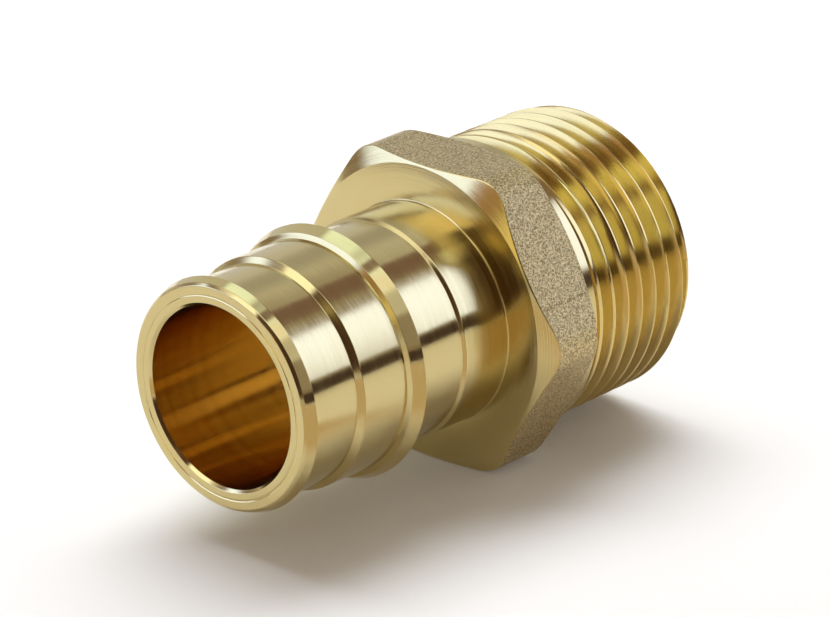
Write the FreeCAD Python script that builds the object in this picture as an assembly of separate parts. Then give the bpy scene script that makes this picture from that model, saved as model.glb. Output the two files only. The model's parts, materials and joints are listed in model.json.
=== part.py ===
import FreeCAD
import Part
import math
import os

# A 3/4 in expansion-tube to 3/4 in male pipe thread adapter, turned from one brass forging.
# Millimetres. The axis lies along X, the ribbed tube end at -X and the pipe thread at +X.
# The part lies on one flat of its hexagon, with +Z up.

# Waterway
bore_diameter = 16.0
bore_chamfer = 0.25

# Lip at the front of the tube insert
nose_diameter = 19.0
nose_length = 0.4
lip_front_diameter = 19.95
lip_land_length = 0.75
lip_back_diameter = 20.5

# Front neck and the small step behind it
neck_diameter = 19.4
front_neck_length = 5.2
middle_step_length = 0.45
middle_diameter = 20.5
middle_length = 4.9

# Barb that the tube closes over
barb_face_length = 0.2
barb_front_diameter = 21.5
barb_land_length = 1.2
barb_back_diameter = 22.5

# Rear neck, and the collar that runs up to the hexagon
rear_neck_length = 6.1
collar_step_length = 0.3
collar_diameter = 19.88
collar_length = 5.2

# Hexagon
hexagon_across_flats = 27.0
hexagon_width = 6.6
hexagon_corner_radius = 3.6
hexagon_face_diameter = 26.5
hexagon_chamfer_angle = 27.0

# Tapered pipe thread, 14 turns to the inch, 1 in 16 on the diameter
thread_pitch = 25.4 / 14
thread_taper = 1 / 16
thread_end_diameter = 26.03
thread_depth = 1.44
thread_angle = 60.0
thread_length = 14.7
thread_plain_band = 0.85
thread_end_chamfer = 1.0
thread_start_angle = -71.0
groove_clearance = 0.1

insert_length = (nose_length + lip_land_length + front_neck_length + middle_step_length + middle_length
                 + barb_face_length + barb_land_length + rear_neck_length + collar_step_length + collar_length)
hexagon_back = insert_length + hexagon_width
total_length = hexagon_back + thread_length


def solid_of_revolution(points):
    """Turns an outline of (distance from the front, radius) points about the axis."""
    outline = Part.makePolygon([FreeCAD.Vector(x, 0, r) for x, r in points + points[:1]])
    return Part.Face(outline).revolve(FreeCAD.Vector(0, 0, 0), FreeCAD.Vector(1, 0, 0), 360)


def insert_outline():
    """The ribbed insert from its front face to the hexagon, as running lengths and diameters."""
    steps = [
        (0, nose_diameter),
        (nose_length, lip_front_diameter),
        (lip_land_length, lip_back_diameter),
        (0, neck_diameter),
        (front_neck_length, neck_diameter),
        (middle_step_length, middle_diameter),
        (middle_length, middle_diameter),
        (barb_face_length, barb_front_diameter),
        (barb_land_length, barb_back_diameter),
        (0, neck_diameter),
        (rear_neck_length, neck_diameter),
        (collar_step_length, collar_diameter),
        (collar_length, collar_diameter),
    ]
    points = []
    x = 0
    for length, diameter in steps:
        x += length
        points.append((x, diameter / 2))
    return points


def thread_radius(x):
    """Radius over the crests at a distance from the front; the thread grows towards the hexagon."""
    return thread_end_diameter / 2 + (total_length - x) * thread_taper / 2


def insert():
    """The ribbed insert, with a core that runs on through the hexagon."""
    core = [(hexagon_back, collar_diameter / 2), (hexagon_back, 0)]
    return solid_of_revolution([(0, 0)] + insert_outline() + core)


def hexagon():
    """Hexagonal prism with rounded corners, its two faces turned to a shallow cone."""
    corner = hexagon_across_flats / math.sqrt(3)
    turns = [math.radians(60 * k) for k in range(7)]
    outline = Part.makePolygon(
        [FreeCAD.Vector(insert_length, corner * math.cos(a), corner * math.sin(a)) for a in turns])
    prism = Part.Face(outline).extrude(FreeCAD.Vector(hexagon_width, 0, 0))
    long_edges = [e for e in prism.Edges if abs(e.tangentAt(e.FirstParameter).x) > 0.99]
    prism = prism.makeFillet(hexagon_corner_radius, long_edges)

    face_radius = hexagon_face_diameter / 2
    reach = corner - face_radius
    drop = reach * math.tan(math.radians(hexagon_chamfer_angle))
    cones = solid_of_revolution([
        (insert_length, 0),
        (insert_length, face_radius),
        (insert_length + drop, corner),
        (hexagon_back - drop, corner),
        (hexagon_back, face_radius),
        (hexagon_back, 0),
    ])
    return prism.common(cones)


def thread_groove():
    """Helical V-groove, from one turn outside the free end to one turn past the hexagon's back."""
    overshoot = thread_pitch
    height = thread_length + 2 * overshoot
    start_radius = thread_end_diameter / 2 - overshoot * thread_taper / 2
    half_angle = math.radians(thread_angle / 2)
    cone_angle = math.degrees(math.atan(thread_taper / 2))

    inner = start_radius - thread_depth
    outer = start_radius + groove_clearance
    half_mouth = (thread_depth + groove_clearance) * math.tan(half_angle)
    section = Part.makePolygon([
        FreeCAD.Vector(inner, 0, 0),
        FreeCAD.Vector(outer, 0, half_mouth),
        FreeCAD.Vector(outer, 0, -half_mouth),
        FreeCAD.Vector(inner, 0, 0),
    ])
    spine = Part.makeHelix(thread_pitch, height, start_radius, cone_angle)
    groove = Part.Wire(spine).makePipeShell([section], True, True)
    groove.rotate(FreeCAD.Vector(0, 0, 0), FreeCAD.Vector(0, 1, 0), -90)
    groove.translate(FreeCAD.Vector(total_length + overshoot, 0, 0))
    return groove


def plain_band():
    """Short plain band, rooted in the hexagon, where the thread ends in a square shoulder."""
    band_start = hexagon_back - thread_plain_band / 2
    band_end = hexagon_back + thread_plain_band
    return solid_of_revolution([
        (band_start, 0),
        (band_start, thread_radius(band_start)),
        (band_end, thread_radius(band_end)),
        (band_end, 0),
    ])


def threaded_end():
    """The tapered thread, turned about the axis to where its start lies."""
    chamfer_start = total_length - thread_end_chamfer
    blank = solid_of_revolution([
        (hexagon_back, 0),
        (hexagon_back, thread_radius(hexagon_back)),
        (chamfer_start, thread_radius(chamfer_start)),
        (total_length, thread_radius(chamfer_start) - thread_end_chamfer),
        (total_length, 0),
    ])
    thread = blank.cut(thread_groove())
    thread.rotate(FreeCAD.Vector(0, 0, 0), FreeCAD.Vector(1, 0, 0), thread_start_angle)
    return thread


def waterway():
    """Straight bore with a small chamfer at both mouths."""
    r = bore_diameter / 2
    return solid_of_revolution([
        (0, 0),
        (0, r + bore_chamfer),
        (bore_chamfer, r),
        (total_length - bore_chamfer, r),
        (total_length, r + bore_chamfer),
        (total_length, 0),
    ])


def adapter_body():
    body = insert().fuse([hexagon(), plain_band(), threaded_end()]).removeSplitter()
    body = body.cut(waterway())
    body.translate(FreeCAD.Vector(-total_length / 2, 0, hexagon_across_flats / 2))
    return body


def main():
    os.makedirs("parts", exist_ok=True)
    body = adapter_body()
    body.exportStep("parts/adapter_body.step")
    box = body.optimalBoundingBox(False, False)
    print("length", round(box.XLength, 3), "width", round(box.YLength, 3), "height", round(box.ZLength, 3))
    print("solids", len(body.Solids), "valid", body.isValid(), "volume mm3", round(body.Volume, 1))


main()
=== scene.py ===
import json
import math

import bmesh
import bpy
import numpy as np
from mathutils import Matrix, Vector


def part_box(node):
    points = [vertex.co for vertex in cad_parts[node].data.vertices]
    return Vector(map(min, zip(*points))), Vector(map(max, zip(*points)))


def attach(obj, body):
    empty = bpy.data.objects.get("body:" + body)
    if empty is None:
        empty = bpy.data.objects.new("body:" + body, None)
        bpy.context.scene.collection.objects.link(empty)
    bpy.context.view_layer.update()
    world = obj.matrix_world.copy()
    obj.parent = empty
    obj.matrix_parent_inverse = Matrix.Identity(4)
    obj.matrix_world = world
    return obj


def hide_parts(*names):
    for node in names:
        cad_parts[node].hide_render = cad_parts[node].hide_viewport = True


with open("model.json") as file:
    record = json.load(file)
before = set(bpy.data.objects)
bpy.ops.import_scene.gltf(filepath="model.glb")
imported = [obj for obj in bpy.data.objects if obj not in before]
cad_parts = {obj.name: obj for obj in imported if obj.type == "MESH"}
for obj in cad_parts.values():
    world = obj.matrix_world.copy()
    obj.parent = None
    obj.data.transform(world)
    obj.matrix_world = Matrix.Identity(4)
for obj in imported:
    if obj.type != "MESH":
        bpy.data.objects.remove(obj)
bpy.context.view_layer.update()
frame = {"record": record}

MM = 0.001
NODE = "adapter_body"
PIECE = "adapter_body_finished"

# The fitting in millimetres. x runs along the axis from the front face of the insert,
# and angles run about the axis from +Y towards +Z.
LOW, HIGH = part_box(NODE)
LENGTH = (HIGH.x - LOW.x) / MM
ACROSS_FLATS = (HIGH.z - LOW.z) / MM
AXIS_HEIGHT = ACROSS_FLATS / 2
WATERWAY = next(m for m in frame["record"]["mounts"] if m["name"] == "waterway")
BORE_RADIUS = WATERWAY["dims"]["r_mm"]
BORE_CHAMFER = 0.25

HEX_FRONT = 24.7
HEX_BACK = 31.3
HEX_FACE_RADIUS = 13.25
HEX_CORNER_RADIUS = 3.6
HEX_SLOPE = math.tan(math.radians(27))
HEX_EDGE = 0.12
COLLAR_RADIUS = 9.94

# Flanks are the slopes of a crest's front and back side
PITCH = 25.4 / 14
THREAD_TAPER = 1 / 32
THREAD_END_RADIUS = 13.015
THREAD_DEPTH = 1.44
THREAD_FLANKS = math.tan(math.radians(24.5)), math.tan(math.radians(31))
THREAD_CREST = 0.022
THREAD_EDGE = 0.01
THREAD_ROOT = 0.10
THREAD_START_ANGLE = -71
THREAD_SHOULDER = HEX_BACK + 0.85
END_CHAMFER = 1.0
FIRST_CREST = LENGTH - PITCH / 2 - PITCH * (90 + THREAD_START_ANGLE) / 360

# Mesh fineness. Shares are of the length that they limit or divide.
SEGMENTS = 288
EDGE_GUARD = 0.04
ARC_STEP = math.radians(16)
LEAST_ARC_STEPS = 2
LARGEST_CUT_SHARE = 0.45
HEX_CUT_SHARE = 0.4
HEX_GUARD_SHARE = 0.2
HEX_ROUNDING_RINGS = 5
HEX_BANDS_TO_CHANGE = 5
FLANK_SHARES = (0.3, 0.6)
ROOT_SHARES = (0, 0.5, 1, 1.5)
ON_FACE = 1e-6
WELD = 1e-4
SHARP_ANGLE = math.radians(35)

# Corners of the front outline: x, radius, rounding
BORE_MOUTH = [
    (BORE_CHAMFER, BORE_RADIUS, 0.08),
    (0, BORE_RADIUS + BORE_CHAMFER, 0.06),
]
FACE_GROOVE = [
    (0, 8.80, 0.03),
    (0.05, 8.87, 0.04),
    (0.05, 8.93, 0.04),
    (0, 9.00, 0.03),
]
INSERT = [
    (0, 9.67, 0.12),
    (0.26, 9.925, 0.16),
    (1.15, 10.25, 0.05),
    (1.15, 9.70, 0.10),
    (6.35, 9.70, 0.08),
    (6.80, 10.225, 0.10),
    (11.70, 10.30, 0.06),
    (11.90, 10.75, 0.06),
    (13.10, 11.25, 0.05),
    (13.10, 9.70, 0.12),
    (19.20, 9.70, 0.08),
    (19.50, COLLAR_RADIUS, 0.10),
    (HEX_FRONT, COLLAR_RADIUS, 0.16),
]

# The photograph's camera, fitted to the object's turned edges. Its clip distances are in metres.
CAMERA_PLACE = Vector((-264.54, -244.28, 167.10))
CAMERA_RIGHT = Vector((0.67625, -0.73667, -0.00328))
CAMERA_UP = Vector((0.28981, 0.26194, 0.92054))
CAMERA_LENS = 198.67
CAMERA_SENSOR = 36.0
CAMERA_CLIP = (0.01, 10)

# Finishes, in the order of the piece's material slots
TURNED, FACED, FORGED, THREADED, BORED = range(5)
ANGLES = np.arange(SEGMENTS) * 2 * math.pi / SEGMENTS


def soften(corners):
    """Points along an outline of (x, radius, rounding) corners, with guards beside each one."""
    places = [np.array(c[:2], float) for c in corners]
    roundings = [c[2] for c in corners[1:]]
    points = [places[0]]
    for before, corner, after, rounding in zip(places, places[1:], places[2:], roundings):
        into, out = corner - before, after - corner
        reach_in, reach_out = np.linalg.norm(into), np.linalg.norm(out)
        into, out = into / reach_in, out / reach_out
        room_in, room_out = LARGEST_CUT_SHARE * reach_in, LARGEST_CUT_SHARE * reach_out
        turn = math.acos(max(-1.0, min(1.0, float(into @ out))))
        cut = min(rounding * math.tan(turn / 2), room_in, room_out)
        start, end = corner - into * cut, corner + out * cut
        if cut + EDGE_GUARD < room_in:
            points.append(start - into * EDGE_GUARD)
        steps = max(LEAST_ARC_STEPS, math.ceil(turn / ARC_STEP))
        for t in np.linspace(0, 1, steps + 1):
            points.append((1 - t) ** 2 * start + 2 * t * (1 - t) * corner + t ** 2 * end)
        if cut + EDGE_GUARD < room_out:
            points.append(end + out * EDGE_GUARD)
    points.append(places[-1])
    return points


def rings_of(points):
    """Turned rings (x, radius at each angle) from outline points."""
    return [(np.full(SEGMENTS, x), np.full(SEGMENTS, r)) for x, r in points]


def hexagon_radius(angle):
    """Radius of the hexagon with rounded corners at angles about the axis."""
    half = ACROSS_FLATS / 2
    off_flat = np.abs((angle + math.pi / 6 - math.pi / 2) % (math.pi / 3) - math.pi / 6)
    tangent = math.atan((half - HEX_CORNER_RADIUS) * math.tan(math.pi / 6) / half)
    centre = (half - HEX_CORNER_RADIUS) / math.cos(math.pi / 6)
    off_corner = math.pi / 6 - off_flat
    reach = np.sqrt(np.maximum(HEX_CORNER_RADIUS ** 2 - (centre * np.sin(off_corner)) ** 2, 0))
    rounded = centre * np.cos(off_corner) + reach
    return np.where(off_flat <= tangent, half / np.cos(off_flat), rounded)


def chamfered_edge(inner, outer, side):
    """Rings over one face's cone and rounded edge. side is 1 at the front, -1 at the back."""
    face = HEX_FRONT if side > 0 else HEX_BACK
    slope = np.array([HEX_SLOPE, 1.0]) / math.hypot(HEX_SLOPE, 1.0)
    edge_x = (outer - HEX_FACE_RADIUS) * HEX_SLOPE
    cut = np.minimum(HEX_EDGE, HEX_CUT_SHARE * (outer - inner) / slope[1])
    guard = np.minimum(EDGE_GUARD, HEX_GUARD_SHARE * (outer - inner))
    rings = [((inner + guard - HEX_FACE_RADIUS) * HEX_SLOPE, inner + guard)]
    rings.append((edge_x - (cut + guard) * slope[0], outer - (cut + guard) * slope[1]))
    for t in np.linspace(0, 1, HEX_ROUNDING_RINGS):
        x = edge_x - (1 - t) ** 2 * cut * slope[0] + t ** 2 * cut
        rings.append((x, outer - (1 - t) ** 2 * cut * slope[1]))
    rings.append((edge_x + cut + guard, outer + 0 * guard))
    return [(face + side * x, r) for x, r in rings]


def crest_radius(x):
    """Radius over the thread's crests."""
    return THREAD_END_RADIUS + (LENGTH - x) * THREAD_TAPER


def groove_depth(off_crest, flank):
    """Depth of the thread's groove at a distance along the axis from the middle of a crest."""
    past = off_crest - THREAD_CREST
    into_edge = np.clip(past + THREAD_EDGE, 0, 2 * THREAD_EDGE)
    into_root = np.clip(past - (THREAD_DEPTH * flank - THREAD_ROOT), 0, 2 * THREAD_ROOT)
    straight = np.maximum(np.minimum(past, THREAD_DEPTH * flank - THREAD_ROOT) - THREAD_EDGE, 0)
    edge = into_edge ** 2 / (4 * THREAD_EDGE)
    root = into_root - into_root ** 2 / (4 * THREAD_ROOT)
    return (edge + straight + root) / flank


def thread_radius(x, angle):
    """Radius of the threaded end at x and an angle, with the chamfer at its free end."""
    off_crest = (x - FIRST_CREST - PITCH * angle / (2 * math.pi) + PITCH / 2) % PITCH - PITCH / 2
    front_flank, back_flank = THREAD_FLANKS
    depth = groove_depth(np.abs(off_crest), np.where(off_crest < 0, front_flank, back_flank))
    chamfer_start = LENGTH - END_CHAMFER
    chamfer = crest_radius(chamfer_start) - np.maximum(x - chamfer_start, 0)
    return np.minimum(crest_radius(x) - depth, chamfer)


def thread_lines(flank):
    """Distances from the middle of a crest at which a flank's grid lines lie, outwards."""
    edge = THREAD_CREST + THREAD_EDGE
    root = THREAD_CREST + THREAD_DEPTH * flank - THREAD_ROOT
    return [
        THREAD_CREST - THREAD_EDGE,
        THREAD_CREST,
        edge,
        edge + EDGE_GUARD,
        *[edge + share * (root - edge) for share in FLANK_SHARES],
        root - EDGE_GUARD,
        *[root + share * THREAD_ROOT for share in ROOT_SHARES],
    ]


def add_ring(bm, ring):
    """New points for one ring of (x, radius at each angle)."""
    x, r = ring
    return [bm.verts.new(p) for p in np.c_[x, r * np.cos(ANGLES), r * np.sin(ANGLES)]]


def add_band(bm, first, second, finish):
    """Faces between two rings with a point at each angle."""
    for j in range(SEGMENTS):
        k = (j + 1) % SEGMENTS
        bm.faces.new((first[j], first[k], second[k], second[j])).material_index = finish


def add_rings(bm, last_ring, rings, finishes):
    """Bands from a ring over more rings, each with its finish. Returns the last ring."""
    for ring, finish in zip(rings, finishes):
        new_ring = add_ring(bm, ring)
        add_band(bm, last_ring, new_ring, finish)
        last_ring = new_ring
    return last_ring


def add_thread(bm):
    """The helical thread as a grid along the groove, drawn in to its shoulder and free end."""
    front_flank, back_flank = THREAD_FLANKS
    front_lines = [-d for d in reversed(thread_lines(front_flank))]
    offsets = [-PITCH / 2, *front_lines, 0, *thread_lines(back_flank)]
    first = math.floor((THREAD_SHOULDER - FIRST_CREST) / PITCH) - 1
    last = math.ceil((LENGTH - FIRST_CREST) / PITCH) + 1
    grid = []
    for turn in range(first, last):
        for offset in offsets:
            x = FIRST_CREST + turn * PITCH + offset + PITCH * ANGLES / (2 * math.pi)
            x = np.clip(x, THREAD_SHOULDER, LENGTH)
            grid.append(add_ring(bm, (x, thread_radius(x, ANGLES))))
    for index, (line, after) in enumerate(zip(grid, grid[1:])):
        for j in range(SEGMENTS - 1):
            corners = (line[j], line[j + 1], after[j + 1], after[j])
            bm.faces.new(corners).material_index = THREADED
        wrap = index + len(offsets)
        if wrap + 1 < len(grid):
            corners = (line[-1], grid[wrap][0], grid[wrap + 1][0], after[-1])
            bm.faces.new(corners).material_index = THREADED


def add_hexagon(bm, last_ring, band_radius):
    """The hexagon's flats and chamfered edges, up to the plain band. Returns the last ring."""
    outer = hexagon_radius(ANGLES)
    front_edge = chamfered_edge(np.full(SEGMENTS, HEX_FACE_RADIUS), outer, 1)
    back_edge = chamfered_edge(np.full(SEGMENTS, band_radius), outer, -1)[::-1]
    # Each edge changes its finish on its rounding
    before = HEX_BANDS_TO_CHANGE
    after = len(front_edge) - before
    last_ring = add_rings(bm, last_ring, front_edge, [FACED] * before + [FORGED] * after)
    return add_rings(bm, last_ring, back_edge, [FORGED] * before + [FACED] * after)


def fitting_mesh():
    """The whole fitting as one closed mesh, in metres in the frame."""
    bm = bmesh.new()
    add_thread(bm)

    outline = soften(BORE_MOUTH + FACE_GROOVE + INSERT + [(HEX_FRONT, HEX_FACE_RADIUS, 0)])
    front = [add_ring(bm, r) for r in rings_of(outline)]
    face_from = next(i for i, p in enumerate(outline) if p[0] > HEX_FRONT - ON_FACE)
    for i, (a, b) in enumerate(zip(front, front[1:])):
        add_band(bm, a, b, FACED if i >= face_from else TURNED)

    band_radius = crest_radius(HEX_BACK)
    last_ring = add_hexagon(bm, front[-1], band_radius)

    junction = HEX_BACK - (band_radius - HEX_FACE_RADIUS) * HEX_SLOPE
    band = [
        (junction, crest_radius(junction)),
        (junction + EDGE_GUARD, crest_radius(junction)),
        (THREAD_SHOULDER - EDGE_GUARD, crest_radius(THREAD_SHOULDER)),
        (THREAD_SHOULDER, crest_radius(THREAD_SHOULDER)),
    ]
    last_ring = add_rings(bm, last_ring, rings_of(band), [TURNED] * len(band))
    at_shoulder = np.full(SEGMENTS, THREAD_SHOULDER)
    foot = add_ring(bm, (at_shoulder, thread_radius(THREAD_SHOULDER, ANGLES)))
    add_band(bm, last_ring, foot, THREADED)

    mouth = [
        (LENGTH, BORE_RADIUS + BORE_CHAMFER + EDGE_GUARD),
        (LENGTH, BORE_RADIUS + BORE_CHAMFER),
        (LENGTH - BORE_CHAMFER, BORE_RADIUS),
        (LENGTH - BORE_CHAMFER - EDGE_GUARD, BORE_RADIUS),
    ]
    free_end = add_ring(bm, (np.full(SEGMENTS, LENGTH), thread_radius(LENGTH, ANGLES)))
    last_ring = add_rings(bm, free_end, rings_of(mouth), [TURNED] * len(mouth))
    add_band(bm, last_ring, front[0], BORED)

    bmesh.ops.remove_doubles(bm, verts=bm.verts, dist=WELD)
    for v in bm.verts:
        v.co = Vector((v.co.x - LENGTH / 2, v.co.y, v.co.z + AXIS_HEIGHT)) * MM
    bmesh.ops.recalc_face_normals(bm, faces=bm.faces)
    mesh = bpy.data.meshes.new(PIECE)
    bm.to_mesh(mesh)
    bm.free()
    mesh.shade_smooth()
    mesh.set_sharp_from_angle(angle=SHARP_ANGLE)
    return mesh


class Nodes:
    """Short calls for building a node tree."""

    def __init__(self, tree):
        self.tree = tree
        tree.nodes.clear()

    def add(self, kind, inputs=(), **settings):
        node = self.tree.nodes.new(kind)
        for name, value in settings.items():
            setattr(node, name, value)
        for key, value in dict(inputs).items():
            self.fill(node.inputs[key], value)
        return node

    def fill(self, socket, value):
        if isinstance(value, bpy.types.NodeSocket):
            self.tree.links.new(value, socket)
        else:
            socket.default_value = value

    def math(self, operation, *values, clamp=False):
        inputs = dict(enumerate(values))
        return self.add("ShaderNodeMath", inputs, operation=operation, use_clamp=clamp).outputs[0]

    def vector(self, operation, inputs, output=0):
        return self.add("ShaderNodeVectorMath", inputs, operation=operation).outputs[output]

    def noise(self, vector, scale, detail=2.0, roughness=0.5):
        inputs = {"Vector": vector, "Scale": scale, "Detail": detail, "Roughness": roughness}
        return self.add("ShaderNodeTexNoise", inputs).outputs["Fac"]

    def spread(self, value, low, high, to_low, to_high, smooth=False):
        inputs = {
            "Value": value, "From Min": low, "From Max": high, "To Min": to_low, "To Max": to_high,
        }
        kind = "SMOOTHSTEP" if smooth else "LINEAR"
        return self.add("ShaderNodeMapRange", inputs, interpolation_type=kind).outputs["Result"]

    def blend(self, factor, a, b):
        node = self.add("ShaderNodeMix", data_type="RGBA")
        for key, value in (("Factor_Float", factor), ("A_Color", a), ("B_Color", b)):
            self.fill(next(s for s in node.inputs if s.identifier == key), value)
        return next(s for s in node.outputs if s.identifier == "Result_Color")

    def bump(self, height, distance, normal=None):
        inputs = {"Height": height, "Distance": distance, "Strength": 1.0}
        if normal is not None:
            inputs["Normal"] = normal
        return self.add("ShaderNodeBump", inputs).outputs["Normal"]

    def surface(self, shader):
        self.add("ShaderNodeOutputMaterial", {"Surface": shader})


def new_material(name):
    """An empty material and its nodes."""
    material = bpy.data.materials.new(name)
    material.use_nodes = True
    return material, Nodes(material.node_tree)


def new_object(name, data):
    """An object in the scene."""
    made = bpy.data.objects.new(name, data)
    bpy.context.scene.collection.objects.link(made)
    return made


# The two colours that each finish varies between
BRASS = ((0.61, 0.505, 0.235, 1.0), (0.58, 0.43, 0.18, 1.0))
# A more saturated, more golden copy of the brass for the thread's grooves: painted shade in the
# grooves
THREAD_BRASS = ((0.63, 0.485, 0.185, 1.0), (0.59, 0.415, 0.135, 1.0))
# A more saturated, redder copy of the brass for the bore: painted shade inside the bore
BORE_BRASS = ((0.65, 0.475, 0.185, 1.0), (0.62, 0.42, 0.13, 1.0))
# Forged: the light colour goes on the grain's peaks and the dark one in its hollows: grain tone
# with painted glints and painted shade
FORGED_GRAIN_AND_PIT_SHADE = ((0.80, 0.64, 0.325, 1.0), (0.23, 0.15, 0.05, 1.0))

# Turned brass. Noise scales are per millimetre.
TINT_SCALE = 0.35
TINT_RANGE = (0.35, 0.7)
TINT_SHARE = 0.25
MARK_ROUGHNESS = 0.6
MARK_DRIFT = 0.02
WAVE_SCALE = 0.5
FINISH_SCALE_SHARE = 1 / 3
FINISH_RANGE = (0.3, 0.7)
SMOOTHER, ROUGHER = 0.8, 1.2
ANISOTROPY = 0.8
ANISOTROPY_TURN = 0.25

# Forged brass, with its faint flash line where a plane through the axis meets the flats.
# Depths, heights and widths are in millimetres.
GRAIN_SCALE = 6.5
GRAIN_ROUGHNESS = 0.85
GRAIN_DEPTH = 0.07
# The grain's hollows turn dark over this range: painted shade in the hollows, over the grain's own
# tone
GRAIN_AND_PIT_SHADE_RANGE = (0.45, 0.54)
LUMP_SCALE = 1.2
LUMP_DEPTH = 0.02
FORGED_ROUGHNESS = 0.29
FLASH_ANGLE = math.radians(164.5)
FLASH_PLANE = (0, math.sin(FLASH_ANGLE), -math.cos(FLASH_ANGLE))
FLASH_WIDTH = 0.25
FLASH_HEIGHT = 0.03
FLASH_DARKENING = 0.04


def turned_places(nodes):
    """Place in the part in millimetres, and (x, radius) with hardly any change round the axis."""
    place = nodes.add("ShaderNodeTexCoord").outputs["Object"]
    place = nodes.vector("ADD", {0: place, 1: (0, 0, -AXIS_HEIGHT * MM)})
    place = nodes.vector("SCALE", {0: place, "Scale": 1 / MM})
    parts = nodes.add("ShaderNodeSeparateXYZ", {0: place}).outputs
    across = nodes.add("ShaderNodeCombineXYZ", {1: parts[1], 2: parts[2]}).outputs[0]
    radius = nodes.vector("LENGTH", {0: across}, "Value")
    slow = nodes.math("MULTIPLY", parts[1], MARK_DRIFT)
    turned = nodes.add("ShaderNodeCombineXYZ", {0: parts[0], 1: radius, 2: slow}).outputs[0]
    return place, turned


def turned_brass(name, colours, roughness, mark_depth, mark_scale, wave_depth):
    """Turned brass: fine marks round the axis over a slightly uneven surface."""
    material, nodes = new_material(name)
    place, turned = turned_places(nodes)
    tint = nodes.spread(nodes.noise(place, TINT_SCALE, detail=3.0), *TINT_RANGE, 0.0, TINT_SHARE)
    colour = nodes.blend(tint, *colours)
    marks = nodes.noise(turned, mark_scale, detail=3.0, roughness=MARK_ROUGHNESS)
    waves = nodes.noise(place, WAVE_SCALE, detail=1.0)
    normal = nodes.bump(waves, wave_depth * MM)
    normal = nodes.bump(marks, mark_depth * MM, normal)
    patches = nodes.noise(turned, mark_scale * FINISH_SCALE_SHARE)
    finish = nodes.spread(patches, *FINISH_RANGE, SMOOTHER * roughness, ROUGHER * roughness)
    tangent = nodes.add("ShaderNodeTangent", direction_type="RADIAL", axis="X").outputs[0]
    shader = nodes.add("ShaderNodeBsdfPrincipled", {
        "Base Color": colour,
        "Metallic": 1.0,
        "Roughness": finish,
        "Normal": normal,
        "Anisotropic": ANISOTROPY,
        "Anisotropic Rotation": ANISOTROPY_TURN,
        "Tangent": tangent,
    })
    nodes.surface(shader.outputs[0])
    return material


def forged_brass():
    """The hexagon's flats as forged and blasted: a coarse grain of bumps, coloured lighter on their
    peaks and darker in their hollows. That colour is grain tone with painted glints on the peaks
    and painted shade in the hollows.
    """
    material, nodes = new_material("forged_brass")
    place, _ = turned_places(nodes)
    grain = nodes.noise(place, GRAIN_SCALE, detail=4.0, roughness=GRAIN_ROUGHNESS)
    lumps = nodes.noise(place, LUMP_SCALE)
    normal = nodes.bump(lumps, LUMP_DEPTH * MM)
    normal = nodes.bump(grain, GRAIN_DEPTH * MM, normal)
    off_plane = nodes.vector("DOT_PRODUCT", {0: place, 1: FLASH_PLANE}, "Value")
    off_plane = nodes.math("ABSOLUTE", off_plane)
    flash = nodes.spread(off_plane, 0.0, FLASH_WIDTH, 1.0, 0.0, smooth=True)
    normal = nodes.bump(flash, FLASH_HEIGHT * MM, normal)
    lowered = nodes.math("SUBTRACT", grain, nodes.math("MULTIPLY", flash, FLASH_DARKENING))
    # Darker where the grain's bump is low and lighter where it is high: painted shade in the
    # hollows, painted glints on the peaks
    grain_and_pit_shade = nodes.spread(lowered, *GRAIN_AND_PIT_SHADE_RANGE, 1.0, 0.0)
    shader = nodes.add("ShaderNodeBsdfPrincipled", {
        "Base Color": nodes.blend(grain_and_pit_shade, *FORGED_GRAIN_AND_PIT_SHADE),
        "Metallic": 1.0,
        "Roughness": FORGED_ROUGHNESS,
        "Normal": normal,
    })
    nodes.surface(shader.outputs[0])
    return material


def brass_finishes():
    """The piece's materials, in the order of TURNED, FACED, FORGED, THREADED and BORED."""
    return [
        turned_brass("turned_brass", BRASS, roughness=0.14,
                     mark_depth=0.0010, mark_scale=9.0, wave_depth=0.004),
        turned_brass("faced_brass", BRASS, roughness=0.16,
                     mark_depth=0.0090, mark_scale=7.0, wave_depth=0.004),
        forged_brass(),
        turned_brass("threaded_brass", THREAD_BRASS, roughness=0.18,
                     mark_depth=0.0010, mark_scale=9.0, wave_depth=0.003),
        turned_brass("bored_brass", BORE_BRASS, roughness=0.13,
                     mark_depth=0.0002, mark_scale=3.0, wave_depth=0.003),
    ]


def add_fitting():
    mesh = fitting_mesh()
    for material in brass_finishes():
        mesh.materials.append(material)
    piece = new_object(PIECE, mesh)
    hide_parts(NODE)
    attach(piece, "root")


FLOOR_RADIUS = 0.9
FLOOR_SEGMENTS = 96
FLOOR_COLOUR = (0.87, 0.9, 0.93, 1.0)
FLOOR_GLOW = 0.06


def add_floor():
    """Plain pale disc, with a little glow to the camera and in reflections. It keeps the shadow."""
    mesh = bpy.data.meshes.new("floor")
    bm = bmesh.new()
    bmesh.ops.create_circle(bm, cap_ends=True, radius=FLOOR_RADIUS, segments=FLOOR_SEGMENTS)
    bm.to_mesh(mesh)
    bm.free()
    material, nodes = new_material("floor_white")
    path = nodes.add("ShaderNodeLightPath").outputs
    seen = nodes.math("ADD", path["Is Camera Ray"], path["Is Glossy Ray"])
    seen = nodes.math("ADD", seen, path["Is Transmission Ray"], clamp=True)
    diffuse = nodes.add("ShaderNodeBsdfDiffuse", {"Color": FLOOR_COLOUR}).outputs[0]
    strength = nodes.math("MULTIPLY", seen, FLOOR_GLOW)
    glow = nodes.add("ShaderNodeEmission", {"Strength": strength}).outputs[0]
    nodes.surface(nodes.add("ShaderNodeAddShader", {0: diffuse, 1: glow}).outputs[0])
    mesh.materials.append(material)
    floor = new_object("floor", mesh)


# Distances from the fitting are in metres, and the floor card's height is in millimetres
PANEL_DISTANCE = 0.8
CARD_DISTANCE = 0.75
CARD_HEIGHT = 0.3
PATCH_CELLS = 16

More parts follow.
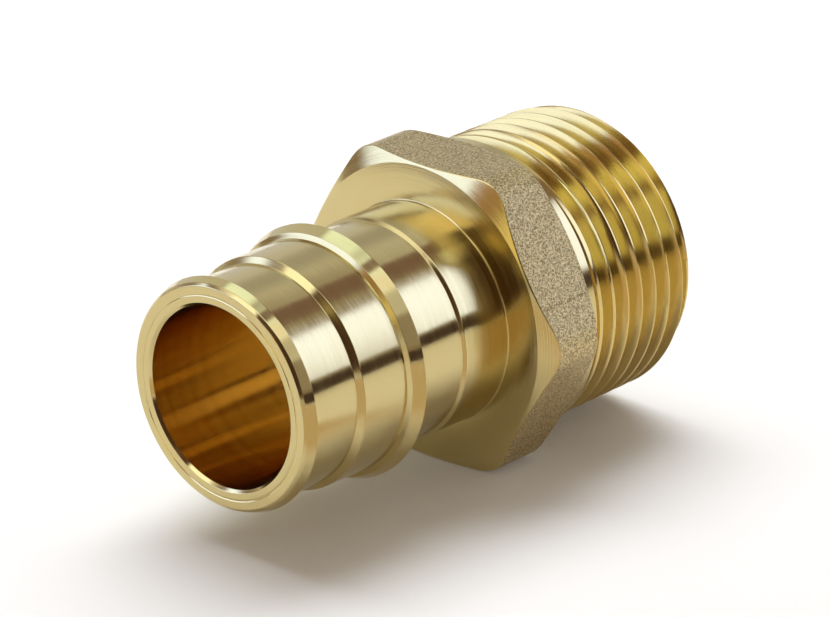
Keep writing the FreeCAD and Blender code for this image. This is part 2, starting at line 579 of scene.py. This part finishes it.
WHITE = (1.0, 1.0, 1.0, 1.0)
BROWN = (1.0, 0.66, 0.60, 1.0)
DEEP_BROWN = (1.0, 0.53, 0.42, 1.0)
GOLD = (1.0, 0.84, 0.4, 1.0)
GAP_GOLD = (1.0, 0.6, 0.28, 1.0)
COOL = (0.75, 0.92, 1.0, 1.0)
KEY = (0.61, 0.705, 1.17, 1.0)
WARM = (1.0, 0.85, 0.75, 1.0)
# Colour of the floor card, a painted warm shade
FLOOR_SHADE_WARM = (1.0, 0.8, 0.56, 1.0)
SKY = (0.42, 0.51, 0.85, 1.0)
WORLD = (1.0, 0.77, 0.6, 1.0)
WORLD_STRENGTH = 0.33

# How often light may go on from one reflection to the next, for the bore and the grooves
GLOSSY_BOUNCES = 10

# Soft boxes, and the cards in front of them, as patches of a sphere round the fitting:
# the pole they are measured from, angle round it from and to, angle up from and to,
# strength, colour, soft edge as a share of the patch. Only reflections see these.
# The card on the floor has millimetres along X and Y in place of the angles.
PANELS = {
    "key_panel": ("Z", (-51.5, -15), (8, 42), 2.8, KEY, 0.06),
    "key_side": ("Z", (-85, -54), (8, 44), 2.1, COOL, 0.12),
    "high_panel": ("Z", (-72, -28), (46, 80), 2.5, COOL, 0.2),
    "high_side": ("Z", (238, 292), (50, 84), 1.35, WHITE, 0.25),
    "left_back_panel": ("Z", (104, 166), (6, 36), 3.9, SKY, 0.12),
    "side_panel": ("Z", (248, 292), (32, 58), 0.8, WHITE, 0.25),
    "side_low": ("Z", (248, 292), (6, 38), 0.40, WARM, 0.2),
    "overhead_panel": ("Z", (30, 95), (47, 86), 1.9, COOL, 0.22),
    "zenith_panel": ("X", (74, 114), (-16, 6), 1.9, COOL, 0.3),
    "top_panel": ("Z", (95, 265), (38, 88), 1.4, WHITE, 0.2),
    "rear_wall": ("Z", (-12, 100), (-3, 53), 0.75, WHITE, 0.1),
}
CARDS = {
    "left_gap": ("Z", (161, 175), (3, 38), 0.5, GAP_GOLD, 0.25),
    "corner_card": ("Z", (138, 176), (35, 60), 1.9, WHITE, 0.12),
    "stripe_gap": ("Z", (174, 203), (36, 60), 0.1, DEEP_BROWN, 0.15),
    "gold_card": ("Z", (174, 196), (-2, 36), 1.25, GOLD, 0.2),
    "camera_card": ("Z", (191, 241), (-2, 57), 0.08, DEEP_BROWN, 0.08),
    "overhead_gap": ("X", (85, 109), (4, 60), 0.26, BROWN, 0.2),
    "zenith_gap": ("X", (93, 106), (-9, 12), 0.26, BROWN, 0.3),
    "rear_grey": ("X", (28, 68), (28, 55), 0.52, WHITE, 0.4),
    "horizon_gap": ("Z", (-105, 0), (-2, 7.5), 0.07, BROWN, 0.05),
    # A dim warm sheet lying on the floor in front, seen only in reflections and casting no shadow:
    # painted shade in place of the floor's own shade in front of the fitting
    "table_card": ("floor", (-160, 4), (-330, -14), 0.74, FLOOR_SHADE_WARM, 0.04),
}

# Lamps that light the floor and show in no reflection
FLOOR_LAMPS = {
    "floor_lamp": ("Z", (-25, 125), (42, 88), 6.3, WHITE, 0.2),
}


def patch_point(distance, pole, around, up):
    """Point of a patch, in metres, from two angles in degrees or two lengths on the floor."""
    if pole == "floor":
        return Vector((around, up, CARD_HEIGHT)) * MM
    around, up = math.radians(around), math.radians(up)
    flat = (math.cos(around) * math.cos(up), math.sin(around) * math.cos(up))
    way = Vector((*flat, math.sin(up))) if pole == "Z" else Vector((math.sin(up), *flat))
    return Vector((0, 0, AXIS_HEIGHT * MM)) + distance * way


def patch_mesh(name, distance, pole, around, up):
    """A patch as a grid, with a UV map that runs from 0 to 1 across it and up it."""
    steps = np.linspace(0, 1, PATCH_CELLS + 1)
    row = PATCH_CELLS + 1
    corners = []
    for v in steps:
        for u in steps:
            here = around[0] + u * (around[1] - around[0])
            corners.append(patch_point(distance, pole, here, up[0] + v * (up[1] - up[0])))
    cells = []
    for j in range(PATCH_CELLS):
        for i in range(j * row, j * row + row - 1):
            cells.append((i, i + 1, i + 1 + row, i + row))
    mesh = bpy.data.meshes.new(name)
    mesh.from_pydata(corners, [], cells)
    layer = mesh.uv_layers.new(name="patch")
    for loop in mesh.loops:
        across, upward = loop.vertex_index % row, loop.vertex_index // row
        layer.data[loop.index].uv = (steps[across], steps[upward])
    return mesh


def patch_material(name, strength, colour, soft):
    """A glow that fades out at the patch's edges."""
    material, nodes = new_material(name)
    place = nodes.add("ShaderNodeUVMap", uv_map="patch").outputs[0]
    level = 1.0
    for part in nodes.add("ShaderNodeSeparateXYZ", {0: place}).outputs[:2]:
        off_middle = nodes.math("ABSOLUTE", nodes.math("SUBTRACT", part, 0.5))
        from_edge = nodes.math("SUBTRACT", 0.5, off_middle)
        fade = nodes.spread(from_edge, 0.0, soft, 0.0, 1.0, smooth=True)
        level = nodes.math("MULTIPLY", fade, level)
    clear = nodes.add("ShaderNodeBsdfTransparent").outputs[0]
    glow = nodes.add("ShaderNodeEmission", {"Strength": strength, "Color": colour}).outputs[0]
    nodes.surface(nodes.add("ShaderNodeMixShader", {0: level, 1: clear, 2: glow}).outputs[0])
    return material


def add_patch(name, facts, distance, lights_floor):
    """A glowing patch hidden from the camera. It lights the floor, or else shows in reflections."""
    pole, around, up, strength, colour, soft = facts
    mesh = patch_mesh(name, distance, pole, around, up)
    mesh.materials.append(patch_material(name, strength, colour, soft))
    panel = new_object(name, mesh)
    panel.visible_camera = False
    panel.visible_diffuse = lights_floor
    panel.visible_glossy = not lights_floor
    panel.visible_shadow = pole != "floor"


def add_world():
    world = bpy.data.worlds.new("studio")
    world.use_nodes = True
    nodes = Nodes(world.node_tree)
    glow = nodes.add("ShaderNodeBackground", {"Color": WORLD, "Strength": WORLD_STRENGTH})
    nodes.add("ShaderNodeOutputWorld", {"Surface": glow.outputs[0]})
    bpy.context.scene.world = world


def add_camera():
    data = bpy.data.cameras.new("camera")
    data.lens = CAMERA_LENS
    data.sensor_width = CAMERA_SENSOR
    data.sensor_fit = "HORIZONTAL"
    data.clip_start, data.clip_end = CAMERA_CLIP
    camera = new_object("camera", data)
    back = CAMERA_RIGHT.cross(CAMERA_UP)
    turn = Matrix((CAMERA_RIGHT, CAMERA_UP, back)).transposed()
    camera.matrix_world = Matrix.Translation(CAMERA_PLACE * MM) @ turn.to_4x4()
    bpy.context.scene.camera = camera


bpy.context.scene.view_settings.view_transform = "Standard"
bpy.context.scene.cycles.glossy_bounces = GLOSSY_BOUNCES
add_camera()
add_world()
add_floor()
for patches, patch_distance, lights in (
    (FLOOR_LAMPS, PANEL_DISTANCE, True),
    (PANELS, PANEL_DISTANCE, False),
    (CARDS, CARD_DISTANCE, False),
):
    for patch_name, patch_facts in patches.items():
        add_patch(patch_name, patch_facts, patch_distance, lights)
add_fitting()
